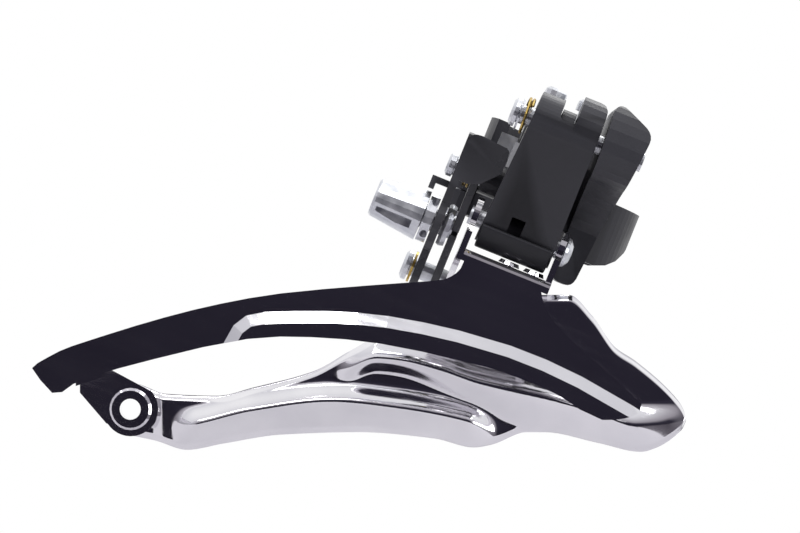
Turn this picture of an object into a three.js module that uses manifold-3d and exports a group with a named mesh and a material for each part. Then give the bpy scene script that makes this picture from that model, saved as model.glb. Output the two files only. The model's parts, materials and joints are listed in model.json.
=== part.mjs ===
// Front derailleur for a bicycle: a clamp for the seat tube, a four-pivot parallelogram and a pressed
// chain cage. Millimetres. The origin is the centre of the clamp, +Z points up the seat tube,
// +X forwards, and -Y outboard, which is the side that the chainrings are on.
import * as THREE from 'three';
import { mergeVertices } from 'three/addons/utils/BufferGeometryUtils.js';
import Module from 'manifold-3d';

const wasm = await Module();
wasm.setup();

// ---- driving dimensions ----
const DEG = Math.PI / 180;
const FIT = 0.2;             // radial room round every pin and rivet
const GAP = 0.3;             // room between two pieces that touch
const SHEET = 1.2;           // thickness of the pressed plates

const TUBE_R = 15.9;         // half of a 31.8 mm seat tube
const RING_R = 18.9;
const RING_LOW = -6.9;
const RING_HIGH = 7;
const BAND_HIGH = 15;        // the far half of the clamp reaches higher
const HINGE_AT = 205 * DEG;  // where the clamp's hinge lies round the tube
const HINGE_OUT = 21.2;      // distance of the hinge pin from the tube's centre
const SPLIT_X = 10;          // the split between the two clamp lugs

const LINK = 25;             // pivot to pivot, the same on both links
const LEAN = 24 * DEG;       // how far the links lean inboard at rest
const PIN_R = 2;
const P1 = [-48, 15.8];      // upper outer pivot, as [y, z]
const PIVOT_GAP = [13, -14.6];
const P2 = [P1[0] + LINK * Math.sin(LEAN), P1[1] - LINK * Math.cos(LEAN)];
const P3 = [P2[0] + PIVOT_GAP[0], P2[1] + PIVOT_GAP[1]];
const P4 = [P1[0] + PIVOT_GAP[0], P1[1] + PIVOT_GAP[1]];

const CAGE_PITCH = 22 * DEG; // the cage's long direction against +X
const OUTER_Y = -46;         // outboard face of the outer plate
const STEP = 1.6;            // how far the outer plate's lower strip stands proud
const INNER_Y = -34;         // outboard face of the inner plate
const ROLL = 2.4;            // how far the inner plate's lower roll stands proud
const SHELF = [-15.3, -14.1];
const EAR_LEFT = [-15.4, -14.1];
const EAR_RIGHT = [3.7, 5];
const TAIL_RIVET = [-88.1, -41.2];
const ANCHOR = [-31, -10.9]; // the cable anchor's axis, as [y, z]

// ---- helpers ----
const X_AXIS = new THREE.Vector3(1, 0, 0);
const Y_AXIS = new THREE.Vector3(0, 1, 0);
const Z_AXIS = new THREE.Vector3(0, 0, 1);
const points = (list) => list.map(([a, b]) => new THREE.Vector2(a, b));

// Shared vertices merged, collapsed triangles dropped and faces turned outwards.
function closed(geometry) {
  for (const extra of ['normal', 'uv']) geometry.deleteAttribute(extra);
  const merged = mergeVertices(geometry, 1e-4);
  const place = merged.attributes.position;
  const old = merged.index.array;
  const kept = [];
  let volume = 0;
  const [a, b, c] = [0, 0, 0].map(() => new THREE.Vector3());
  for (let i = 0; i < old.length; i += 3) {
    const [p, q, r] = [old[i], old[i + 1], old[i + 2]];
    if (p === q || q === r || r === p) continue;
    kept.push(p, q, r);
    a.fromBufferAttribute(place, p);
    b.fromBufferAttribute(place, q);
    c.fromBufferAttribute(place, r);
    volume += a.dot(b.cross(c));
  }
  if (volume < 0) kept.reverse();
  merged.setIndex(kept);
  return merged;
}

function solid(geometry) {
  const g = closed(geometry);
  const triVerts = new Uint32Array(g.index.array);
  const vertProperties = new Float32Array(g.attributes.position.array);
  return new wasm.Manifold(new wasm.Mesh({ numProp: 3, vertProperties, triVerts }));
}

function geometryOf(body) {
  const mesh = body.getMesh();
  const geometry = new THREE.BufferGeometry();
  geometry.setAttribute('position', new THREE.BufferAttribute(new Float32Array(mesh.vertProperties), 3));
  geometry.setIndex(new THREE.BufferAttribute(new Uint32Array(mesh.triVerts), 1));
  return geometry;
}

const join = (...bodies) => bodies.reduce((whole, next) => whole.add(next));
const cut = (body, ...tools) => tools.reduce((left, tool) => left.subtract(tool), body);

// A shape drawn in X and Z, from y to y + depth.
function acrossY(shape, y, depth, bevel = 0, curveSegments = 4) {
  const options = { depth: depth - 2 * bevel, curveSegments, bevelEnabled: bevel > 0 };
  Object.assign(options, { bevelSize: bevel, bevelThickness: bevel, bevelOffset: -bevel, bevelSegments: 2 });
  const geometry = new THREE.ExtrudeGeometry(shape, options);
  geometry.applyMatrix4(new THREE.Matrix4().makeBasis(X_AXIS, Z_AXIS, Y_AXIS.clone().negate()));
  return solid(geometry.translate(0, y + depth - bevel, 0));
}

// A shape drawn in Y and Z, from x0 to x1.
function alongX(shape, x0, x1, bevel = 0, curveSegments = 12) {
  const options = { depth: x1 - x0 - 2 * bevel, curveSegments, bevelEnabled: bevel > 0 };
  Object.assign(options, { bevelSize: bevel, bevelThickness: bevel, bevelOffset: -bevel, bevelSegments: 2 });
  const geometry = new THREE.ExtrudeGeometry(shape, options);
  geometry.applyMatrix4(new THREE.Matrix4().makeBasis(Y_AXIS, Z_AXIS, X_AXIS));
  return solid(geometry.translate(x0 + bevel, 0, 0));
}

// A shape drawn in X and Y, from z0 to z1.
function alongZ(shape, z0, z1, curveSegments = 24) {
  const options = { depth: z1 - z0, curveSegments, bevelEnabled: false };
  return solid(new THREE.ExtrudeGeometry(shape, options).translate(0, 0, z0));
}

function box([x0, x1], [y0, y1], [z0, z1]) {
  const geometry = new THREE.BoxGeometry(x1 - x0, y1 - y0, z1 - z0);
  return solid(geometry.translate((x0 + x1) / 2, (y0 + y1) / 2, (z0 + z1) / 2));
}

const disc = ([a, b], r) => new THREE.Shape().absarc(a, b, r, 0, 2 * Math.PI);
const rod = (at, r, x0, x1, segments = 12) => alongX(disc(at, r), x0, x1, 0, segments);
const polygon = (list) => new THREE.Shape(points(list));

// Two circles and their common tangents.
function capsule([ay, az], ra, [by, bz], rb) {
  const along = Math.atan2(bz - az, by - ay);
  const reach = Math.acos((ra - rb) / Math.hypot(by - ay, bz - az));
  const shape = new THREE.Shape();
  shape.absarc(ay, az, ra, along + reach, along - reach + 2 * Math.PI);
  shape.absarc(by, bz, rb, along - reach, along + reach);
  return shape;
}

// A turned piece: the profile is [radius, height] pairs that start and end on the axis.
function turned(profile, axis, [x, y, z], segments = 20) {
  const geometry = new THREE.LatheGeometry(points(profile), segments);
  geometry.applyQuaternion(new THREE.Quaternion().setFromUnitVectors(Y_AXIS, axis));
  return solid(geometry.translate(x, y, z));
}

// ---- looks ----
const finish = (color, roughness, metalness) => ({ color, roughness, metalness });
const CHROME = finish(0xc9c9d0, 0.08, 1);
const ZINC = finish(0xb9bdc4, 0.3, 1);
const BLACK_CAST = finish(0x26262b, 0.42, 0.1);
const BLACK_STEEL = finish(0x161619, 0.35, 0.3);
const BRASS = finish(0xb08a2e, 0.3, 1);
const GREY_PAD = finish(0xa9abb2, 0.6, 0);

function named(name, body, look) {
  const mesh = new THREE.Mesh(closed(geometryOf(body)), new THREE.MeshStandardMaterial(look));
  mesh.name = name;
  return mesh;
}

// ---- the clamp and the fixed body ----
function ringPart(from, to, z0, z1) {
  const shape = new THREE.Shape();
  shape.absarc(0, 0, RING_R, from, to);
  shape.absarc(0, 0, TUBE_R, to, from, true);
  return alongZ(shape, z0, z1, 20);
}

const hingeAt = [HINGE_OUT * Math.cos(HINGE_AT), HINGE_OUT * Math.sin(HINGE_AT)];
const KNUCKLE_R = 3;
const KNUCKLE_SPLIT = 2.2;   // half the height of the clamp hinge's middle knuckle
const hingeKnuckle = (r, z0, z1) => alongZ(disc(hingeAt, r), z0, z1, 8);
const hingeHole = () => alongZ(disc(hingeAt, 1.2 + FIT), -20, 20, 8);
const LUG_Y = [12, 29];
const BOLT = [24, 0];        // the clamp bolt's axis, as [y, z]
const BOLT_R = 2.5;
const bore = () => alongZ(disc([0, 0], TUBE_R), -40, 40, 24);
const boltHole = () => rod(BOLT, BOLT_R + FIT, 0, 20);

// Side silhouette of the clamp: its lower front corner is rounded.
function clampSide(high) {
  const shape = new THREE.Shape();
  shape.moveTo(-30, RING_LOW);
  shape.lineTo(13, RING_LOW);
  shape.quadraticCurveTo(18.6, -5.6, RING_R + 0.4, 1.5);
  shape.lineTo(RING_R + 0.4, 7.4);
  if (high > RING_HIGH) shape.lineTo(10.4, high);
  shape.lineTo(-30, high);
  return acrossY(shape, -60, 120);
}

function strut() {
  const front = new THREE.Shape();
  front.moveTo(4.9, -11.6);
  front.quadraticCurveTo(5.1, -13.2, 6.6, -13.2);
  front.lineTo(8, -13.2);
  front.quadraticCurveTo(9.6, -13.2, 9.9, -11.2);
  front.lineTo(12.5, 19.6);
  front.quadraticCurveTo(12.6, 21.4, 10.9, 22.4);
  front.lineTo(5.6, 24.9);
  front.quadraticCurveTo(3.9, 25.3, 3.5, 23.4);
  const side = new THREE.Shape();
  side.moveTo(-32.5, -13.2);
  side.lineTo(-32.5, -1.5);
  side.quadraticCurveTo(-37, 5, -46, 8.6);
  side.quadraticCurveTo(-55, 9.6, -55.2, 17);
  side.quadraticCurveTo(-55, 25.4, -47, 25.4);
  side.lineTo(-30, 25.4);
  side.quadraticCurveTo(-20, 22, -15, RING_HIGH);
  side.lineTo(-13, RING_LOW);
  side.lineTo(-22, -13.2);
  return acrossY(front, -60, 50).intersect(alongX(side, 2, 14, 0, 6));
}

const NOTCH = [-6.4, -2.9];  // the gap between the outer link's two upper knuckles
const LIMIT_SCREWS = [['limit_screw_low', -8.4], ['limit_screw_high', -1]];
const LIMIT_Y = -26;
const SCREW_R = 1.6;

function clampBody() {
  const ring = ringPart(HINGE_AT - 2 * Math.PI + 1.5 * DEG, 52 * DEG, RING_LOW, RING_HIGH)
    .intersect(clampSide(RING_HIGH));
  const block = alongX(polygon([[-32, -3], [-32, 11], [-28, 17], [-22, 17], [-17, RING_HIGH],
    [-11, RING_HIGH], [-11, RING_LOW], [-25, RING_LOW]]), -12, 10);
  const arm = alongX(polygon([[P1[0], P1[1] + 4.2], [P1[0] - 1, P1[1] - 4.1], [-44, 11], [-31.5, 4],
    [-28, 17]]), NOTCH[0] + GAP, NOTCH[1] - GAP);
  const armEnd = rod(P1, 4.2, NOTCH[0] + GAP, NOTCH[1] - GAP);
  const boss = rod(P4, 3.4, -16.3, -11);
  const bossFoot = box([-16.3, -11], [P4[0], -29], [-2.2, 4.6]);
  const lug = box([SPLIT_X + 1, SPLIT_X + 4.5], LUG_Y, [-5.8, 5.8]);
  const knuckles = join(hingeKnuckle(KNUCKLE_R, RING_LOW, -KNUCKLE_SPLIT - GAP),
    hingeKnuckle(KNUCKLE_R, KNUCKLE_SPLIT + GAP, RING_HIGH));
  const room = hingeKnuckle(KNUCKLE_R + GAP, -KNUCKLE_SPLIT - GAP, KNUCKLE_SPLIT + GAP);
  const screwHoles = LIMIT_SCREWS.map(([, x]) => alongZ(disc([x, LIMIT_Y], SCREW_R + FIT), -20, 30, 6));
  const whole = join(cut(ring, room), block, arm, armEnd, boss, bossFoot, lug, knuckles, strut());
  return cut(whole, bore(), hingeHole(), boltHole(), rod(P1, PIN_R + FIT, -8, 14),
    rod(P4, PIN_R + FIT, -20, -9.5), ...screwHoles);
}

function clampBand() {
  const ring = ringPart(57 * DEG, HINGE_AT - 1.5 * DEG, RING_LOW, BAND_HIGH);
  const shaped = ring.intersect(clampSide(BAND_HIGH));
  const rooms = [[RING_LOW - 1, -KNUCKLE_SPLIT], [KNUCKLE_SPLIT, RING_HIGH + GAP]]
    .map(([z0, z1]) => hingeKnuckle(KNUCKLE_R + GAP, z0, z1));
  const lug = box([SPLIT_X - 4.5, SPLIT_X - 1], LUG_Y, [-5.8, 5.8]);
  const whole = join(cut(shaped, ...rooms), hingeKnuckle(KNUCKLE_R, -KNUCKLE_SPLIT, KNUCKLE_SPLIT), lug);
  return cut(whole, bore(), hingeHole(), boltHole());
}

function hingePin() {
  const profile = [[0, -8.6], [2.2, -8.6], [2.2, -7.3], [1.2, -7.2], [1.2, 7.3], [2.2, 7.4], [2.2, 8.6],
    [0, 8.6]];
  return turned(profile, Z_AXIS, [...hingeAt, 0], 14);
}

const HEX = 6;
function clampBolt() {
  const shank = turned([[0, 0.6], [BOLT_R, 0.6], [BOLT_R, 15], [0, 15]], X_AXIS, [0, ...BOLT]);
  const head = turned([[0, 14.8], [4.6, 14.8], [4.6, 15.6], [4.2, 15.8], [4.2, 18], [3.8, 18.4], [0, 18.4]],
    X_AXIS, [0, ...BOLT]);
  const socket = turned([[0, 16.2], [2.4, 16.2], [2.4, 20], [0, 20]], X_AXIS, [0, ...BOLT], HEX);
  return cut(join(shank, head), socket);
}

function clampNut() {
  const hex = turned([[0, 1.4], [4.4, 1.4], [4.4, 5.2], [0, 5.2]], X_AXIS, [0, ...BOLT], HEX);
  return cut(hex, rod(BOLT, BOLT_R + FIT, 0, 8));
}

function limitScrew(x) {
  const profile = [[0, -1], [SCREW_R, -1], [SCREW_R, 22], [2.4, 22], [2.4, 24], [1.8, 24.6], [0, 24.6]];
  const slot = box([x - 3, x + 3], [LIMIT_Y - 0.4, LIMIT_Y + 0.4], [23.6, 26]);
  return cut(turned(profile, Z_AXIS, [x, LIMIT_Y, 0], 12), slot);
}

function upperOuterPin() {
  const profile = [[0, -16.1], [2.2, -16.1], [3, -15.5], [3.05, -14.7], [PIN_R, -14.6], [PIN_R, 12.9],
    [0, 12.9]];
  return turned(profile, X_AXIS, [0, ...P1]);
}

function upperInnerPin() {
  const profile = [[0, -24.2], [1.8, -24.2], [2.5, -23.7], [2.5, -22.6], [PIN_R, -22.5], [PIN_R, -10],
    [0, -10]];
  return turned(profile, X_AXIS, [0, ...P4]);
}

// A coil about an X axis, as one closed tube.
function coil([y, z], radius, wire, x0, x1, turns) {
  class Helix extends THREE.Curve {
    getPoint(t, target = new THREE.Vector3()) {
      const turn = t * turns * 2 * Math.PI;
      return target.set(x0 + (x1 - x0) * t, y + radius * Math.cos(turn), z + radius * Math.sin(turn));
    }
  }
  const section = new THREE.Shape().absarc(0, 0, wire, 0, 2 * Math.PI);
  const options = { steps: Math.round(turns * 14), curveSegments: 3, extrudePath: new Helix() };
  return solid(new THREE.ExtrudeGeometry(section, options));
}

function stopTab() {
  const foot = box([-13.5, -12.3], [-30, -24], [7, 11.7]);
  return join(foot, box([-16, -12.4], [-30, -28.8], [8.9, 11.7]));
}

// ---- the outer link ----
const LINK_R = 6;
const LINK_END_R = 4.5;
const WEB = 3;

function outerLink() {
  const whole = capsule(P1, LINK_R, P2, LINK_END_R);
  const inboard = [Math.cos(LEAN), Math.sin(LEAN)];
  const down = [Math.sin(LEAN), -Math.cos(LEAN)];
  const at = (out, along) => [0, 1].map((i) => P1[i] - inboard[i] * out + down[i] * along);
  const hubs = [rod(P1, LINK_R, -20, 10), rod(P2, LINK_END_R, -20, 10)];
  const behind = polygon([at(WEB, 0), at(-12, 0), at(-12, LINK), at(WEB - 1.2, LINK)]);
  const hollow = cut(alongX(behind, -20, 10), ...hubs);
  const plan = new THREE.Shape();
  plan.moveTo(-13.2, -14);
  plan.lineTo(3.3, -14);
  plan.lineTo(2.5, 21);
  plan.quadraticCurveTo(2.5, 24, 0.5, 24);
  plan.lineTo(NOTCH[1], 24);
  plan.lineTo(NOTCH[1], 18.4);
  plan.quadraticCurveTo(NOTCH[1] - 0.2, 17.4, NOTCH[1] - 1.2, 17.4);
  plan.lineTo(NOTCH[0] + 1.2, 17.4);
  plan.quadraticCurveTo(NOTCH[0] + 0.2, 17.4, NOTCH[0], 18.4);
  plan.lineTo(NOTCH[0], 24);
  plan.lineTo(-9.6, 24);
  plan.quadraticCurveTo(-11.4, 23.6, -11.4, 21);
  const raised = alongX(disc([P1[0], P1[1] + 2], LINK_R + 0.2), NOTCH[1], 2.5);
  const body = cut(join(alongX(whole, -13.6, 3.6, 0.4), raised), hollow)
    .intersect(acrossY(plan, -70, 60, 0, 3));
  const notchRoom = rod(P1, 4.5, ...NOTCH);
  const notchTop = box(NOTCH, [P1[0] + 0.5, -20], [P1[1] - 7, 30]);
  const slot = box([-7.6, -4.6], [-60, -30], [-10.4, -4.4]);
  return cut(body, notchRoom, notchTop, rod(P1, PIN_R + FIT, -20, 10), rod(P2, PIN_R + FIT, -20, 10),
    slot.subtract(rod(P2, PIN_R + 1.6, -20, 10)));
}

// ---- the inner link with the cable anchor ----
const FLANGE_LEFT = [-22.3, -20.6];
const FLANGE_RIGHT = [-18.2, -16.6];

function innerLink() {
  const strap = () => capsule(P4, 4.2, P3, 3.6);
  const top = new THREE.Shape();
  top.moveTo(-40.7, -3);
  top.lineTo(-40.7, 7);
  top.quadraticCurveTo(-40.7, 8.8, -38.7, 8.8);
  top.lineTo(-35.5, 8.8);
  top.quadraticCurveTo(-31, 7, -31, 1);
  const left = join(alongX(strap(), ...FLANGE_LEFT), alongX(top, ...FLANGE_LEFT, 0, 4),
    rod(ANCHOR, 6.4, ...FLANGE_LEFT));
  const right = join(alongX(strap(), ...FLANGE_RIGHT), box(FLANGE_RIGHT, [-40.7, -35], [0.2, 5]));
  const webPlan = new THREE.Shape();
  webPlan.moveTo(-22.3, -1.5);
  webPlan.lineTo(-22.3, 6.4);
  webPlan.quadraticCurveTo(-22.2, 9, -19.4, 8.9);
  webPlan.lineTo(-14, 8.4);
  webPlan.quadraticCurveTo(-13, 8.2, -13, 7);
  webPlan.lineTo(-13, 3);
  webPlan.lineTo(-16.4, -0.6);
  webPlan.lineTo(-18.8, -1.5);
  const web = acrossY(webPlan, -40.7, 1.3);
  const guide = join(box([-26.1, -22.1], [-34.8, -31], [-3.6, -2.2]),
    box([-26.1, -24.9], [-34.8, -31], [-5, -2.4]));
  const whole = join(left, right, web, guide);
  return cut(whole, rod(P4, PIN_R + FIT, -30, -10), rod(P3, PIN_R + FIT, -30, -10),
    rod(ANCHOR, 2.5 + FIT, -30, -10));
}

function anchorBolt() {
  const profile = [[0, -35.8], [3.7, -35.8], [4.15, -35.3], [5, -28.5], [5.45, -24.9], [2.5, -24.8],
    [2.5, -18], [0, -18]];
  const whole = turned(profile, X_AXIS, [0, ...ANCHOR], 24);
  const facet = box([-34.6, -26.6], [ANCHOR[0] - 7, ANCHOR[0] - 3.2], [ANCHOR[1] - 3.6, ANCHOR[1] - 1.8]);
  const socket = turned([[0, -36.5], [2.6, -36.5], [2.6, -32], [0, -32]], X_AXIS, [0, ...ANCHOR], HEX);
  return cut(whole, facet, socket);
}

function anchorWasher() {
  const profile = [[3, -24.6], [5.2, -24.6], [5.2, -22.6], [3, -22.6], [3, -24.6]];
  const groove = alongZ(disc([-23.4, ANCHOR[0] - 3.6], 0.8), -20, 0, 6);
  return cut(turned(profile, X_AXIS, [0, ...ANCHOR], 24), groove);
}

function anchorNut() {
  const profile = [[0, -20.3], [4.3, -20.3], [4.6, -19.6], [4.3, -18.6], [0, -18.6]];
  return cut(turned(profile, X_AXIS, [0, ...ANCHOR], 20), rod(ANCHOR, 2.5 + FIT, -30, -10));
}

// ---- the cage, drawn in its own pitched frame as [x, z] ----
const PITCH = new THREE.Matrix4().makeRotationY(-CAGE_PITCH);
const pitched = (body) => solid(geometryOf(body).applyMatrix4(PITCH));

const OUTER_TOP = [[-106.6, -31.4], [-101.6, -28.7], [-95.3, -26.5], [-82.7, -22.6], [-70.1, -19.4],
  [-56.4, -17], [-37.5, -15.3], [-24.9, -14.4], [-21.8, -13.7], [-19.6, -12.1], [-18.4, -9.4]];
const OUTER_FRONT = [[-3, -15.3], [-2.6, -18.1], [-1.5, -21], [0.7, -23.9], [5.6, -28.7], [16.6, -38.6],
  [17.7, -40.2], [16.6, -42], [13, -42.9], [9.6, -43]];
const OUTER_BOTTOM = [[4.9, -40.8], [-0.2, -37.5], [-9.1, -33.8], [-16.4, -31.6], [-34.3, -27.6],
  [-50.1, -26], [-64.9, -26.6], [-85.9, -31.4], [-97.8, -35], [-103.1, -37.7], [-107.7, -32.4]];
const STEP_LINE = [[-69.8, -30], [-66.2, -23.6], [-63.6, -21.6], [-60, -20.9], [-54, -20.7], [-46.9, -20.7],
  [-40.6, -21], [-34.3, -21.7], [-27, -23], [-19.6, -24.7], [-9.1, -27.8], [-1.7, -30.7], [5.6, -34.2],
  [15.9, -40.1]];
const INNER_TOP = [[-92.1, -35], [-87.4, -35.9], [-80.8, -38.1], [-70.1, -38.5], [-62.7, -36.8],
  [-50.1, -33.4], [-42.2, -29], [-30, -22.5], [-15, -18.8], [-1, -17.4], [3.4, -17.4]];
const INNER_FRONT = [[8.2, -21.7], [13, -28.3], [17.4, -31.3], [25.8, -39], [27.8, -42.6], [26.9, -45.6],
  [21, -49.6], [18.5, -50.2]];
const INNER_BOTTOM = [[9.3, -48.3], [-1.7, -46.1], [-5.4, -46.1], [-12.7, -48.7], [-16.4, -49.3],
  [-24.9, -47.4], [-40.6, -46.1], [-56.4, -46.6], [-68.9, -48.5], [-76.4, -49.8], [-88, -47],
  [-94, -43.5], [-96, -39]];
const ROLL_TOP = [[-78, -45], [-62.8, -41.4], [-46.3, -39.3], [-32, -41], [-17.6, -43.6], [-12.5, -46]];
const ROLL_BOTTOM = [[-16.4, -48.3], [-24.9, -46.6], [-40.6, -45.2], [-56.4, -45.7], [-76.4, -48.8]];
const RIDGE = [[-50, -36], [-44, -34.6], [-36, -32], [-15, -38.8], [4, -43.6], [20, -45], [23, -43.4],
  [20, -41.4], [6, -37], [-14, -30], [-30, -25], [-39, -29]];

// The lower strip runs on below the plate, whose outline trims it, so that only its upper side slopes.
const STRIP_LOW = [[22, -44], [12, -52], [-14, -44], [-40, -38], [-72, -38]];
const STEP_SLOPE = {
  depth: SHEET / 2, curveSegments: 2, bevelSize: 2.4, bevelThickness: STEP, bevelOffset: -2.4,
  bevelSegments: 1, bevelEnabled: true,
};

function smooth(first, ...runs) {
  const shape = new THREE.Shape();
  shape.moveTo(...first[0]);
  shape.splineThru(points(first.slice(1)));
  for (const run of runs) {
    shape.lineTo(...run[0]);
    shape.splineThru(points(run.slice(1)));
  }
  return shape;
}

const rivetHole = () => acrossY(disc(TAIL_RIVET, 3 + FIT), -60, 60, 0, 8);
const BRIDGE_RIVETS = [['bridge_rivet_rear', -4.5], ['bridge_rivet_front', 1]];
const BRIDGE_Y = -38.6;
const RIVET_R = 1.3;
const bridgeHole = ([, x]) => alongZ(disc([x, BRIDGE_Y], RIVET_R + FIT), -20, -10, 6);
const bridgeHoles = () => BRIDGE_RIVETS.map(bridgeHole);

function cageOuterPlate() {
  const face = acrossY(smooth(OUTER_TOP, OUTER_FRONT, OUTER_BOTTOM), OUTER_Y, SHEET, 0, 2);
  const strip = new THREE.ExtrudeGeometry(polygon([...STEP_LINE, ...STRIP_LOW]), STEP_SLOPE);
  strip.applyMatrix4(new THREE.Matrix4().makeBasis(X_AXIS, Z_AXIS, Y_AXIS.clone().negate()));
  const outline = acrossY(smooth(OUTER_TOP, OUTER_FRONT, OUTER_BOTTOM), OUTER_Y - 2 * STEP, 4 * STEP, 0, 2);
  const lower = solid(strip.translate(0, OUTER_Y + SHEET / 2, 0)).intersect(outline);
  const bridge = acrossY(polygon([[-98.7, -36.1], [-92.6, -34], [-92.6, -32.6], [-98.7, -34.7]]),
    OUTER_Y + 0.1, INNER_Y - GAP - OUTER_Y - 0.1);
  const tab = new THREE.Shape();
  tab.moveTo(-98.7, -34.8);
  tab.lineTo(-98.7, -37.8);
  tab.lineTo(-93.2, -44.2);
  tab.absarc(...TAIL_RIVET, 5.7, 213 * DEG, 400 * DEG);
  tab.lineTo(-92.6, -32.8);
  const plateTab = acrossY(tab, INNER_Y - GAP - SHEET, SHEET, 0, 10);
  const plate = cut(pitched(join(face, lower, bridge, plateTab)), pitched(rivetHole()));
  const bend = new THREE.Shape();
  bend.moveTo(OUTER_Y, -16.6);
  bend.lineTo(OUTER_Y, SHELF[0]);
  bend.quadraticCurveTo(OUTER_Y + 0.1, SHELF[1], OUTER_Y + 1.9, SHELF[1]);
  bend.lineTo(-35.6, SHELF[1]);
  bend.lineTo(-35.6, SHELF[0]);
  bend.lineTo(OUTER_Y + 1.9, SHELF[0]);
  bend.lineTo(OUTER_Y + SHEET, -16.6);
  const shelf = alongX(bend, EAR_LEFT[0], EAR_RIGHT[1], 0, 4);
  const rear = join(alongX(capsule(P2, 4.2, P3, 3.6), ...EAR_LEFT),
    box(EAR_LEFT, [OUTER_Y, P2[0]], [SHELF[0], -8]));
  const front = join(rod(P2, 4.2, ...EAR_RIGHT), box(EAR_RIGHT, [OUTER_Y + 2, P2[0] + 4.2], [SHELF[0], -8]));
  const slopes = [EAR_LEFT, EAR_RIGHT].map((ear) => alongX(polygon([[-50, -13], [-50, 0], [P2[0] - 4.2, 0],
    [P2[0] - 4.2, -8]]), ear[0] - 1, ear[1] + 1));
  const holes = [rod(P2, PIN_R + FIT, -20, 10), rod(P3, PIN_R + FIT, -20, 10)];
  return cut(join(plate, shelf, rear, front), ...slopes, ...holes, ...bridgeHoles());
}

function cageInnerPlate() {
  const face = acrossY(smooth(INNER_TOP, INNER_FRONT, INNER_BOTTOM), INNER_Y, SHEET, 0, 2);
  const roll = acrossY(smooth(ROLL_TOP, ROLL_BOTTOM), INNER_Y - ROLL, ROLL + SHEET / 2, 0.6, 2);
  const ridge = acrossY(smooth(RIDGE), INNER_Y - 1.4, 1.4 + SHEET / 2, 0.3, 2);
  const body = cut(pitched(join(face, roll, ridge)), pitched(rivetHole()));
  const flange = box([-7.5, 3.4], [-41.5, INNER_Y + SHEET], [SHELF[0] - GAP - SHEET, SHELF[0] - GAP]);
  const wall = box([-7.5, 3.4], [INNER_Y, INNER_Y + SHEET], [-20, SHELF[0] - GAP]);
  return cut(join(body, flange, wall), ...bridgeHoles());
}

function tailRivet() {
  const near = INNER_Y - 2 * GAP - SHEET;
  const far = INNER_Y + SHEET + GAP;
  const profile = [[2.2, near - 1.2], [3.9, near - 1.2], [4.4, near], [3, near + 0.05], [3, far - 0.05],
    [4.2, far], [4, far + 1], [2.2, far + 1], [2.2, near - 1.2]];
  return turned(profile, Y_AXIS, [TAIL_RIVET[0], 0, TAIL_RIVET[1]], 24);
}

function bridgeRivet(x) {
  const top = SHELF[1] + 0.2;
  const low = SHELF[0] - GAP - SHEET - 0.2;
  const profile = [[0, low - 0.8], [2, low - 0.8], [2.4, low], [RIVET_R, low + 0.05], [RIVET_R, top - 0.05],
    [2.4, top], [2, top + 0.8], [0, top + 0.8]];
  return turned(profile, Z_AXIS, [x, BRIDGE_Y, 0], 14);
}

function lowerOuterPin() {
  const profile = [[0, -15.9], [PIN_R, -15.9], [PIN_R, 5.2], [3.2, 5.3], [3, 5.9], [1.8, 6.7], [0, 6.9]];
  return turned(profile, X_AXIS, [0, ...P2]);
}

function lowerInnerPin() {
  const profile = [[0, -25], [2.4, -25], [3.2, -24.4], [3.2, -23.5], [PIN_R, -23.4], [PIN_R, -13.4],
    [0, -13.4]];
  return turned(profile, X_AXIS, [0, ...P3]);
}

function washer(at, outer, x0, x1) {
  const inner = PIN_R + FIT;
  return turned([[inner, x0], [outer, x0], [outer, x1], [inner, x1], [inner, x0]], X_AXIS, [0, ...at], 20);
}

// ---- the assembly ----
const derailleur = new THREE.Group();
const fixed = new THREE.Group();
fixed.add(
  named('clamp_body', clampBody(), BLACK_CAST),
  named('clamp_band', clampBand(), BLACK_CAST),
  named('clamp_hinge_pin', hingePin(), ZINC),
  named('clamp_bolt', clampBolt(), ZINC),
  named('clamp_nut', clampNut(), ZINC),
  named('upper_outer_pin', upperOuterPin(), ZINC),
  named('upper_outer_washer', washer(P1, 3.6, -14.4, -14), ZINC),
  named('upper_inner_pin', upperInnerPin(), ZINC),
  named('return_spring', coil(P1, 3.7, 0.32, -13.45, -12.35, 1.4), BRASS),
  named('inner_spring', coil(P4, 3.1, 0.3, -20.15, -18.65, 1.8), BRASS),
  named('stop_tab', stopTab(), ZINC),
  named('stop_pad', box([-12.7, -9], [-33.5, -32.3], [5.1, 10.7]), GREY_PAD),
);
for (const [name, x] of LIMIT_SCREWS) fixed.add(named(name, limitScrew(x), ZINC));

const links = new THREE.Group();
links.add(
  named('outer_link', outerLink(), BLACK_CAST),
  named('inner_link', innerLink(), BLACK_STEEL),
  named('anchor_bolt', anchorBolt(), ZINC),
  named('anchor_washer', anchorWasher(), ZINC),
  named('anchor_nut', anchorNut(), ZINC),
);

const cage = new THREE.Group();
const tail = new THREE.Group();
tail.rotation.y = -CAGE_PITCH;
tail.add(named('tail_rivet', tailRivet(), CHROME));
cage.add(
  named('cage_outer_plate', cageOuterPlate(), CHROME),
  named('cage_inner_plate', cageInnerPlate(), CHROME),
  named('lower_outer_pin', lowerOuterPin(), ZINC),
  named('lower_inner_pin', lowerInnerPin(), ZINC),
  named('lower_inner_washer', washer(P3, 3.4, -23.1, -22.6), BRASS),
  tail,
);
for (const [name, x] of BRIDGE_RIVETS) cage.add(named(name, bridgeRivet(x), CHROME));

derailleur.add(fixed, links, cage);
export default derailleur;
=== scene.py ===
"""Front derailleur: looks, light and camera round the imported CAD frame."""
import json
import math

import bmesh
import bpy
from mathutils import Matrix, Vector

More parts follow.
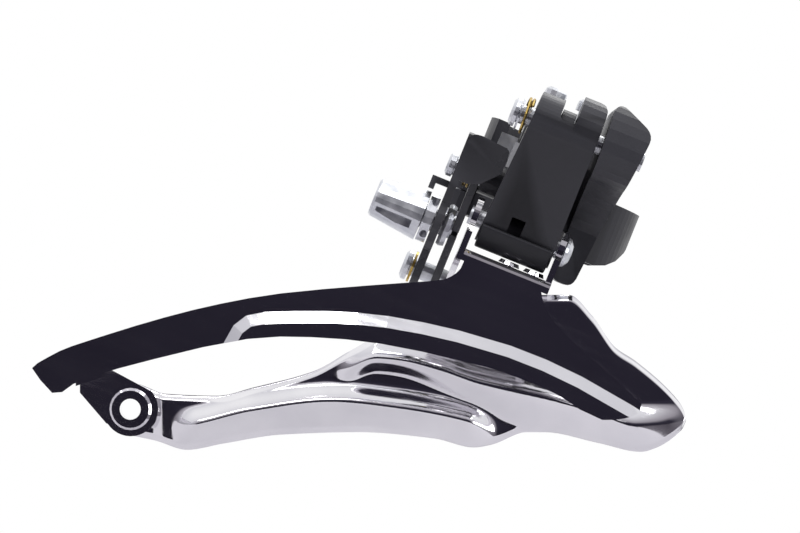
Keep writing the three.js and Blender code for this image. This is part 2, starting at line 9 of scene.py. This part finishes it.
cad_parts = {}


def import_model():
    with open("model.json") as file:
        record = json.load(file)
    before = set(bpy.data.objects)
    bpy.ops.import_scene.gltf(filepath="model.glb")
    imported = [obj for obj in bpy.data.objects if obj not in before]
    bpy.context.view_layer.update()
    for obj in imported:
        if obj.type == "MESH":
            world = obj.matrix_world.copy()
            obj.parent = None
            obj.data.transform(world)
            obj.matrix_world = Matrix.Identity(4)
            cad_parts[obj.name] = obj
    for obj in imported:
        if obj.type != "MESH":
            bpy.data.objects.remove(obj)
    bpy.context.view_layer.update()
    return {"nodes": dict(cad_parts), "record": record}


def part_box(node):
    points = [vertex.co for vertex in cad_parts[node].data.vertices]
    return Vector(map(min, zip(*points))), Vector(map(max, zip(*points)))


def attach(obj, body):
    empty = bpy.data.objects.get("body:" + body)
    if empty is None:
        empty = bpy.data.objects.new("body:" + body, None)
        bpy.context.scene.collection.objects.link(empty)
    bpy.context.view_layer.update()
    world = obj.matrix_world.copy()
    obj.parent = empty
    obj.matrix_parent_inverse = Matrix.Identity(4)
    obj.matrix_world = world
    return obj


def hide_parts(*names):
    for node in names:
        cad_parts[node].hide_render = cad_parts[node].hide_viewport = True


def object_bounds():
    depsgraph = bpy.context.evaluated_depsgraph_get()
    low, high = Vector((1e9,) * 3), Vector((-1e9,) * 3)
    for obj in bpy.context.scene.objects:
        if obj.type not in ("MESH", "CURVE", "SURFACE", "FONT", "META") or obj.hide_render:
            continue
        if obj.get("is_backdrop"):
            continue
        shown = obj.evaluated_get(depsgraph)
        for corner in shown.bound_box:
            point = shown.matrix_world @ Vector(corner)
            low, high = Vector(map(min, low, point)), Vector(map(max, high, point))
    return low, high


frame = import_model()

MM = 0.001
PITCH = math.radians(22)        # the cage's slope, which the camera's roll undoes


# ---- mesh helpers ----
def mesh_of(build, name):
    """A bmesh as a named mesh; the bmesh is freed."""
    mesh = bpy.data.meshes.new(name)
    build.to_mesh(mesh)
    build.free()
    return mesh


def add_object(name, data):
    """A named object with this data, linked to the scene."""
    added = bpy.data.objects.new(name, data)
    bpy.context.scene.collection.objects.link(added)
    return added


def round_edges(piece, width, angle):
    """Bevels the edges that turn by more than angle; width is in millimetres."""
    rounding = piece.modifiers.new("edge_round", "BEVEL")
    rounding.width = width * MM
    rounding.segments = 3
    rounding.limit_method = "ANGLE"
    rounding.angle_limit = angle


# ---- node helpers ----
def new_material(name):
    """An empty node material with its nodes, its links and its Principled shader."""
    material = bpy.data.materials.new(name)
    material.use_nodes = True
    nodes = material.node_tree.nodes
    return material, nodes, material.node_tree.links, nodes["Principled BSDF"]


def noise(nodes, links, scale, detail, stretch=(1, 1, 1)):
    """Noise in object space; a stretch below 1 lengthens its cells along that axis."""
    place = nodes.new("ShaderNodeTexCoord")
    mapping = nodes.new("ShaderNodeMapping")
    mapping.inputs["Scale"].default_value = stretch
    texture = nodes.new("ShaderNodeTexNoise")
    texture.inputs["Scale"].default_value = scale
    texture.inputs["Detail"].default_value = detail
    links.new(place.outputs["Object"], mapping.inputs["Vector"])
    links.new(mapping.outputs["Vector"], texture.inputs["Vector"])
    return texture.outputs["Fac"]


def ramp(nodes, links, source, stops):
    """A colour ramp fed by source; stops are (position, colour) pairs."""
    node = nodes.new("ShaderNodeValToRGB")
    elements = node.color_ramp.elements
    while len(elements) < len(stops):
        elements.new(0.5)
    for element, (position, colour) in zip(elements, stops):
        element.position = position
        element.color = (*colour, 1)
    links.new(source, node.inputs["Fac"])
    return node.outputs["Color"]


def between(nodes, links, source, low, high):
    """Source, which runs about 0.3 to 0.7, spread over low to high."""
    node = nodes.new("ShaderNodeMapRange")
    node.inputs["From Min"].default_value = 0.3
    node.inputs["From Max"].default_value = 0.7
    node.inputs["To Min"].default_value = low
    node.inputs["To Max"].default_value = high
    links.new(source, node.inputs["Value"])
    return node.outputs["Result"]


def mixed(nodes, links, kind, first, second, factor):
    """Two colours mixed; second is white where it is None, and factor may be a number or a socket."""
    node = nodes.new("ShaderNodeMixRGB")
    node.blend_type = kind
    node.inputs["Color2"].default_value = (1, 1, 1, 1)
    links.new(first, node.inputs["Color1"])
    if second is not None:
        links.new(second, node.inputs["Color2"])
    if isinstance(factor, float):
        node.inputs["Fac"].default_value = factor
    else:
        links.new(factor, node.inputs["Fac"])
    return node.outputs["Color"]


def bump(nodes, links, shader, source, strength, distance):
    """Fine surface relief from source."""
    node = nodes.new("ShaderNodeBump")
    node.inputs["Strength"].default_value = strength
    node.inputs["Distance"].default_value = distance
    links.new(source, node.inputs["Height"])
    links.new(node.outputs["Normal"], shader.inputs["Normal"])


# ---- materials ----
def chrome():
    """Mirror plating with a faint haze, fine streaks in its gloss and slight waviness."""
    material, nodes, links, shader = new_material("chrome_plate")
    shader.inputs["Metallic"].default_value = 1.0
    haze = noise(nodes, links, scale=60, detail=6)
    tint = [(0.35, (0.80, 0.79, 0.82)), (0.65, (0.90, 0.89, 0.91))]
    links.new(ramp(nodes, links, haze, tint), shader.inputs["Base Color"])
    streaks = noise(nodes, links, scale=900, detail=3, stretch=(0.05, 1, 1))
    links.new(between(nodes, links, streaks, low=0.05, high=0.13), shader.inputs["Roughness"])
    waves = noise(nodes, links, scale=45, detail=2)
    bump(nodes, links, shader, waves, strength=0.12, distance=0.0004)
    return material


def zinc():
    """Bright zinc with a cloudy sheen and fine marks."""
    material, nodes, links, shader = new_material("bright_zinc")
    shader.inputs["Metallic"].default_value = 1.0
    cloud = noise(nodes, links, scale=350, detail=5)
    tint = [(0.3, (0.62, 0.64, 0.68)), (0.7, (0.83, 0.84, 0.87))]
    links.new(ramp(nodes, links, cloud, tint), shader.inputs["Base Color"])
    links.new(between(nodes, links, cloud, low=0.32, high=0.46), shader.inputs["Roughness"])
    marks = noise(nodes, links, scale=2500, detail=2, stretch=(1, 0.1, 0.1))
    bump(nodes, links, shader, marks, strength=0.15, distance=0.0001)
    return material


FLAT_POINTINESS = 0.5           # what Pointiness reads on a flat surface
EDGE_POINTINESS = 0.62          # and on an edge that is fully rubbed
ROUGH_SPREAD = 0.07             # how far roughness wanders each way


def coated_black(name, dark, light, rough, grain):
    """A black coat with fine grain, rubbed paler along its edges."""
    material, nodes, links, shader = new_material(name)
    shader.inputs["Specular IOR Level"].default_value = 0.32
    edges = nodes.new("ShaderNodeNewGeometry").outputs["Pointiness"]
    wear = ramp(nodes, links, edges, [(FLAT_POINTINESS, dark), (EDGE_POINTINESS, light)])
    links.new(wear, shader.inputs["Base Color"])
    patch = noise(nodes, links, scale=180, detail=5)
    roughness = between(nodes, links, patch, rough - ROUGH_SPREAD, rough + ROUGH_SPREAD)
    links.new(roughness, shader.inputs["Roughness"])
    bump(nodes, links, shader, noise(nodes, links, grain, detail=3), strength=0.25, distance=0.0001)
    return material


def brass_wire():
    """Yellow passivated wire."""
    material, nodes, links, shader = new_material("brass_wire")
    shader.inputs["Metallic"].default_value = 1.0
    shade = noise(nodes, links, scale=500, detail=4)
    tint = [(0.3, (0.42, 0.27, 0.06)), (0.7, (0.78, 0.58, 0.2))]
    links.new(ramp(nodes, links, shade, tint), shader.inputs["Base Color"])
    links.new(between(nodes, links, shade, low=0.22, high=0.38), shader.inputs["Roughness"])
    return material


def grey_plastic():
    """Light grey moulded plastic."""
    material, nodes, links, shader = new_material("grey_plastic")
    shade = noise(nodes, links, scale=300, detail=4)
    tint = [(0.3, (0.5, 0.5, 0.53)), (0.7, (0.6, 0.6, 0.63))]
    links.new(ramp(nodes, links, shade, tint), shader.inputs["Base Color"])
    shader.inputs["Roughness"].default_value = 0.5
    grain = noise(nodes, links, scale=1500, detail=2)
    bump(nodes, links, shader, grain, strength=0.2, distance=0.0001)
    return material


LOOKS = {
    "chrome": chrome(),
    "zinc": zinc(),
    "black_casting": coated_black("satin_black_casting", dark=(0.012, 0.012, 0.015),
                                  light=(0.05, 0.05, 0.058), rough=0.42, grain=1800),
    "black_steel": coated_black("black_pressed_steel", dark=(0.007, 0.007, 0.009),
                                light=(0.09, 0.09, 0.1), rough=0.3, grain=900),
    "brass_spring": brass_wire(),
    "grey_plastic": grey_plastic(),
}

# ---- CAD nodes: material, smooth shading and bevelled edges ----
EDGE_ROUND = {"black_casting": 0.5, "black_steel": 0.25, "chrome": 0.22, "zinc": 0.12, "grey_plastic": 0.2}
SMOOTH_ANGLE = math.radians(35)
FACE_WEIGHT = 90                # how much a big face's normal counts over a small one's
slots = {part["node"]: part["material_slot"] for part in frame["record"]["subparts"]}


def dress(node, slot):
    """Gives a CAD node its material, smooth shading and, where its slot has a width, bevelled edges."""
    node.data.materials.clear()
    node.data.materials.append(LOOKS[slot])
    if slot in EDGE_ROUND:
        round_edges(node, EDGE_ROUND[slot], SMOOTH_ANGLE)
    node.data.shade_smooth()
    even = node.modifiers.new("even_faces", "WEIGHTED_NORMAL")
    even.weight = FACE_WEIGHT


for name, slot in slots.items():
    dress(frame["nodes"][name], slot)


# ---- the outer link's lower skirt, which closes the view under its pivot, in millimetres ----
SKIRT_OUTER = 5.8               # radii of its two faces round the lower outer pivot
SKIRT_INNER = 4.3
SKIRT_INSET = 0.4               # how far its ends stop short of the link's sides
SKIRT_START = 190               # degrees round the pivot: 180 is outboard and 270 is below
SKIRT_TURN = 6
SKIRT_POINTS = 19
SKIRT_ROUND = 0.35
SKIRT_ANGLE = math.radians(30)


def skirt_ring(build, x, pivot, profile):
    """The skirt's outline at one x; profile holds (radius, angle) pairs."""
    ring = []
    for radius, turn in profile:
        y = pivot[1] + radius * MM * math.cos(turn)
        z = pivot[2] + radius * MM * math.sin(turn)
        ring.append(build.verts.new((x, y, z)))
    return ring


def link_skirt():
    """A curved lip round the lower outer pivot, from its outboard side to just past its underside."""
    pivot = next(j for j in frame["record"]["behaviour"]["joints"] if j["name"] == "cage_swing")["pos_m"]
    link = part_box("outer_link")
    inset = SKIRT_INSET * MM
    turns = [math.radians(SKIRT_START + SKIRT_TURN * i) for i in range(SKIRT_POINTS)]
    profile = [(SKIRT_OUTER, turn) for turn in turns] + [(SKIRT_INNER, turn) for turn in reversed(turns)]
    build = bmesh.new()
    ends = (link[0][0] + inset, link[1][0] - inset)
    left, right = [skirt_ring(build, x, pivot, profile) for x in ends]
    count = len(profile)
    for i in range(count):
        k = (i + 1) % count
        build.faces.new((left[i], left[k], right[k], right[i]))
    build.faces.new(left)
    build.faces.new(right)
    bmesh.ops.recalc_face_normals(build, faces=build.faces)
    mesh = mesh_of(build, "link_skirt")
    mesh.materials.append(LOOKS["black_casting"])
    mesh.shade_smooth()
    piece = add_object("link_skirt", mesh)
    round_edges(piece, SKIRT_ROUND, SKIRT_ANGLE)
    piece.modifiers.new("even_faces", "WEIGHTED_NORMAL")
    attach(piece, "outer_link")


link_skirt()


# ---- pressed inner plate, drawn in the cage's pitched frame, in millimetres ----
PLATE = 1.2                     # sheet thickness
# Outlines, and the lines of the two pressed folds' crests, as (x, z)
TOP_EDGE = [(-96, -39.5), (-95, -37), (-92.1, -35.5), (-87.4, -35.9), (-80.8, -38.1), (-70.1, -38.5),
            (-62.7, -36.8), (-50.1, -33.4), (-42.2, -29), (-30, -22.5), (-15, -18.8), (-1, -17.4),
            (3.4, -17.4), (8.2, -21.7), (13, -28.3), (17.4, -31.3), (25.8, -39), (27.4, -41.6),
            (27.8, -43.4)]
LOW_EDGE = [(-96, -39.9), (-94, -43.5), (-90.9, -46), (-82.7, -48), (-76.4, -49.8), (-68.9, -48.5),
            (-56.4, -46.6), (-40.6, -46.1), (-24.9, -47.4), (-16.4, -49.3), (-12.7, -48.7), (-5.4, -46.1),
            (-1.7, -46.1), (9.3, -48.3), (18.5, -50.2), (21, -49.6), (26.9, -45.6), (27.8, -43.8)]
ROLL_CREST = [(-96, -46), (-77, -44.8), (-62.8, -41.6), (-46.3, -39.6), (-32, -41), (-17.6, -43.8),
              (-10, -46.5), (28, -46.5)]
RIDGE_CREST = [(-96, -33), (-44, -33), (-37, -30.7), (-32, -31.1), (-23.7, -33.1), (-15.5, -35.8),
               (-7.3, -37.6), (0.9, -39.5), (9.1, -42), (17.4, -44.6), (22, -44.4), (28, -43.6)]
# Their heights and the ridge's facet width, as (x, value)
ROLL_HEIGHT = [(-96, 0), (-80, 0), (-74, 3), (-18, 3), (-11, 0.2), (28, 0)]
RIDGE_HEIGHT = [(-96, 0), (-47, 0), (-37, 2.6), (14, 2.6), (24, 1.4), (28, 0.6)]
RIDGE_FACET = [(-96, 3), (-36, 3), (-14, 6), (-6, 8), (28, 7)]
LEAST_FACET = 1                 # the roll's facet is never narrower
ROLL_FALL = 4.5                 # width of the rounded fall above each crest
RIDGE_FALL = 5
CURVED_SHARE = 0.3              # how much of a facet's drop is eased, and how much is straight
STRAIGHT_SHARE = 0.7
STEP_HEIGHT = 0.7               # the plate steps outboard of its tail, from STEP_X over STEP_RUN
STEP_X = -84
STEP_RUN = 3
EDGE_DROP = 0.9                 # the rim falls back by this much over EDGE_WIDTH
EDGE_WIDTH = 1.4
COLUMNS = 340                   # the surface's squares along the plate and across it
ROWS = 70
CREASE_ANGLE = math.radians(55)
FLANGE_TOP = 2.2                # height of the flange above the bridge rivets' lower ends
FLANGE_REAR = 0.6               # how far it runs past the rear rivet, rearward and outboard
FLANGE_OUT = 0.5
RIVET = (-88.1, -41.2)          # the tail rivet's centre
HOLE_R = 3.1
HOLE_SIDES = 40
DRILL_LENGTH = 8


def pitched(x, y, z):
    """A place in the cage's pitched frame, in millimetres, as one in the row frame, in metres."""
    place = (x * math.cos(PITCH) - z * math.sin(PITCH), y, x * math.sin(PITCH) + z * math.cos(PITCH))
    return [value * MM for value in place]


def along(points, x):
    """Height of a smooth line through points at x, level at its own peaks."""
    for left in range(len(points) - 2, -1, -1):
        if x >= points[left][0]:
            break
    (x0, z0), (x1, z1) = points[left], points[left + 1]
    slope = (z1 - z0) / (x1 - x0)

    def tangent(index):
        if index in (0, len(points) - 1):
            return slope
        (xa, za), (xb, zb), (xc, zc) = points[index - 1:index + 2]
        before, after = (zb - za) / (xb - xa), (zc - zb) / (xc - xb)
        return 0 if before * after <= 0 else 2 * before * after / (before + after)

    t = min(max((x - x0) / (x1 - x0), 0), 1)
    span = x1 - x0
    return ((1 + 2 * t) * (1 - t) ** 2 * z0 + t * (1 - t) ** 2 * span * tangent(left)
            + t * t * (3 - 2 * t) * z1 + t * t * (t - 1) * span * tangent(left + 1))


def ease(value):
    """A smooth step from 0 to 1, level at both ends."""
    value = min(max(value, 0), 1)
    return value * value * (3 - 2 * value)


def hill(z, crest, height, below, above):
    """A pressed fold: a nearly straight facet under its crest and a rounded fall above it."""
    if z < crest:
        down = (crest - z) / below
        return height * (1 - ease(down) * CURVED_SHARE - min(down, 1) * STRAIGHT_SHARE)
    return height * (1 - ease((z - crest) / above))


def plate_relief(x, z, low, high):
    """How far the plate's face stands outboard of its flat level."""
    crest = along(ROLL_CREST, x)
    roll = hill(z, crest, along(ROLL_HEIGHT, x), max(crest - low, LEAST_FACET), ROLL_FALL)
    ridge = hill(z, along(RIDGE_CREST, x), along(RIDGE_HEIGHT, x), along(RIDGE_FACET, x), RIDGE_FALL)
    edge = min(z - low, high - z)
    step = STEP_HEIGHT * ease((x - STEP_X) / STEP_RUN)
    return max(roll, ridge) + step - EDGE_DROP * (1 - ease(edge / EDGE_WIDTH))


def plate_face(build, level, back):
    """A grid of points over one face of the plate, closer together at both ends."""
    middle = (TOP_EDGE[0][0] + TOP_EDGE[-1][0]) / 2
    half = TOP_EDGE[-1][0] - middle
    grid = []
    for i in range(COLUMNS + 1):
        x = middle - half * math.cos(math.pi * i / COLUMNS)
        low, high = along(LOW_EDGE, x), along(TOP_EDGE, x)
        column = []
        for j in range(ROWS + 1):
            z = low + (high - low) * j / ROWS
            y = level - plate_relief(x, z, low, high) + back
            column.append(build.verts.new(pitched(x, y, z)))
        grid.append(column)
    return grid


def close_plate(build, front, rear):
    """Faces over both grids, and walls round them."""
    for i in range(COLUMNS):
        for j in range(ROWS):
            build.faces.new((front[i][j], front[i + 1][j], front[i + 1][j + 1], front[i][j + 1]))
            build.faces.new((rear[i][j], rear[i][j + 1], rear[i + 1][j + 1], rear[i + 1][j]))
        for j, flip in ((0, 1), (ROWS, -1)):
            wall = (front[i][j], rear[i][j], rear[i + 1][j], front[i + 1][j])
            build.faces.new(wall[::flip])
    for j in range(ROWS):
        build.faces.new((front[0][j], front[0][j + 1], rear[0][j + 1], rear[0][j]))
        build.faces.new((front[-1][j], rear[-1][j], rear[-1][j + 1], front[-1][j + 1]))


def flange(build):
    """The plate's top flange, which the bridge rivets hold under the outer plate's shelf."""
    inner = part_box("cage_inner_plate")
    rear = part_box("bridge_rivet_rear")
    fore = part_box("bridge_rivet_front")
    top = rear[0][2] + FLANGE_TOP * MM
    low = (rear[0][0] - FLANGE_REAR * MM, rear[0][1] - FLANGE_OUT * MM, top - PLATE * MM)
    high = (fore[1][0], inner[1][1], top)
    centre = [(a + b) / 2 for a, b in zip(low, high)]
    size = [b - a for a, b in zip(low, high)]
    place = Matrix.Translation(centre) @ Matrix.Diagonal((*size, 1))
    bmesh.ops.create_cube(build, size=1, matrix=place)


def pierce(piece, level):
    """Cuts the tail rivet's hole through the plate."""
    x, z = RIVET
    build = bmesh.new()
    place = Matrix.Translation(pitched(x, level, z)) @ Matrix.Rotation(math.pi / 2, 4, "X")
    bmesh.ops.create_cone(build, cap_ends=True, segments=HOLE_SIDES, radius1=HOLE_R * MM,
                          radius2=HOLE_R * MM, depth=DRILL_LENGTH * MM, matrix=place)
    drill = add_object("drill", mesh_of(build, "drill"))
    hole = piece.modifiers.new("hole", "BOOLEAN")
    hole.object = drill
    hole.operation = "DIFFERENCE"
    graph = bpy.context.evaluated_depsgraph_get()
    pierced = bpy.data.meshes.new_from_object(piece.evaluated_get(graph))
    piece.modifiers.clear()
    piece.data = pierced
    bpy.data.objects.remove(drill)


def inner_plate():
    """The whole inner plate, which stands for its plain CAD node."""
    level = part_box("cage_inner_plate")[1][1] / MM - PLATE
    build = bmesh.new()
    front, rear = [plate_face(build, level, back) for back in (0, PLATE)]
    close_plate(build, front, rear)
    flange(build)
    bmesh.ops.recalc_face_normals(build, faces=build.faces)
    for face in build.faces:
        face.smooth = True
    mesh = mesh_of(build, "inner_plate_pressed")
    mesh.materials.append(LOOKS["chrome"])
    piece = add_object("inner_plate_pressed", mesh)
    pierce(piece, level)
    edges = piece.modifiers.new("edges", "EDGE_SPLIT")
    edges.split_angle = CREASE_ANGLE
    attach(piece, "cage")
    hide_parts("cage_inner_plate")


inner_plate()


# ---- floor, light and camera, in metres ----
FLOOR_HALF = 0.3                # half its width
FLOOR_FRONT = -0.25             # its near edge
FLOOR_BEHIND = 0.06             # how far it runs past the object's back
FLOOR_DROP = 0.045              # how far it lies below the object
VIEW_WIDTH = 164.4 * MM         # what the picture's width covers at the cage's outer plate
VIEW_X = -25.3 * MM             # the picture's centre
VIEW_Z = -22.6 * MM
CAMERA_FAR = 0.8                # distance from the camera to that plate
SENSOR = 36.0
LIGHT_TARGET = (-0.02, -0.03, -0.02)
LIGHTS = [                      # name, place, size and energy
    ("key", (-0.35, -0.5, 0.6), 0.35, 3),
    ("fill", (0.5, -0.45, 0.15), 0.3, 1.2),
    ("rim", (0.1, 0.4, 0.6), 0.4, 2),
]
PATCH = (0.032, 0.029, 0.044)   # the world's dark patch
# The world's colours by direction: a ramp runs from 0, straight outboard or down, to 1
OUTBOARD_TO_INBOARD = [(0.0, PATCH), (0.045, PATCH), (0.09, (0.35, 0.33, 0.36)),
                       (0.3, (0.75, 0.75, 0.78)), (0.55, (1, 1, 1))]
DOWN_TO_UP = [(0, (0.38, 0.37, 0.4)), (0.42, (0.44, 0.43, 0.46)), (0.62, (0.9, 0.9, 0.92)),
              (1, (1, 1, 1))]
WHITE_BEHIND = [(0.72, (0, 0, 0)), (0.88, (1, 1, 1))]


def floor():
    """A plain pale floor below the object."""
    low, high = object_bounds()
    level = low[2] - FLOOR_DROP
    back = high[1] + FLOOR_BEHIND
    corners = [(-FLOOR_HALF, FLOOR_FRONT), (FLOOR_HALF, FLOOR_FRONT), (FLOOR_HALF, back), (-FLOOR_HALF, back)]
    build = bmesh.new()
    build.faces.new([build.verts.new((x, y, level)) for x, y in corners])
    mesh = mesh_of(build, "floor")
    plane = add_object("floor", mesh)
    material, nodes, links, shader = new_material("pale_floor")
    shader.inputs["Base Color"].default_value = (0.52, 0.51, 0.54, 1)
    shader.inputs["Roughness"].default_value = 0.8
    bump(nodes, links, shader, noise(nodes, links, scale=200, detail=2), strength=0.05, distance=0.0002)
    mesh.materials.append(material)
    plane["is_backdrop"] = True


def world():
    """White behind and above, grey from below, and a dark patch straight out from the outboard side."""
    sky = bpy.data.worlds.new("studio")
    bpy.context.scene.world = sky
    sky.use_nodes = True
    nodes = sky.node_tree.nodes
    links = sky.node_tree.links
    direction = nodes.new("ShaderNodeTexCoord")
    parts = nodes.new("ShaderNodeSeparateXYZ")
    links.new(direction.outputs["Generated"], parts.inputs["Vector"])
    shares = []
    for axis in ("Y", "Z"):
        share = nodes.new("ShaderNodeMapRange")
        share.inputs["From Min"].default_value = -1
        links.new(parts.outputs[axis], share.inputs["Value"])
        shares.append(share.outputs["Result"])
    inboard, upward = shares
    sides = ramp(nodes, links, inboard, OUTBOARD_TO_INBOARD)
    heights = ramp(nodes, links, upward, DOWN_TO_UP)
    shaded = mixed(nodes, links, "MULTIPLY", sides, heights, 1.0)
    behind = ramp(nodes, links, inboard, WHITE_BEHIND)
    colour = mixed(nodes, links, "MIX", shaded, None, behind)
    links.new(colour, nodes["Background"].inputs["Color"])
    nodes["Background"].inputs["Strength"].default_value = 1.0


def area_light(name, place, size, energy):
    """A square soft light, aimed at the object."""
    data = bpy.data.lights.new(name, "AREA")
    data.size = size
    data.energy = energy
    light = add_object(name, data)
    light.location = place
    light.rotation_euler = (Vector(LIGHT_TARGET) - Vector(place)).to_track_quat("-Z", "Y").to_euler()


def camera():
    """Square to the pivots' axes, rolled by the cage's slope so that the cage lies level."""
    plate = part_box("cage_outer_plate")
    right = Vector((math.cos(PITCH), 0, math.sin(PITCH)))
    up = Vector((-math.sin(PITCH), 0, math.cos(PITCH)))
    back = Vector((0, -1, 0))
    centre = Vector((VIEW_X, plate[0][1], VIEW_Z))
    data = bpy.data.cameras.new("camera")
    data.sensor_width = SENSOR
    data.lens = SENSOR * CAMERA_FAR / VIEW_WIDTH
    data.clip_start = 0.01
    viewer = add_object("camera", data)
    turn = Matrix((right, up, back)).transposed().to_4x4()
    viewer.matrix_world = Matrix.Translation(centre + back * CAMERA_FAR) @ turn
    bpy.context.scene.camera = viewer


floor()
world()
for light in LIGHTS:
    area_light(*light)
camera()
bpy.context.scene.view_settings.view_transform = "Standard"
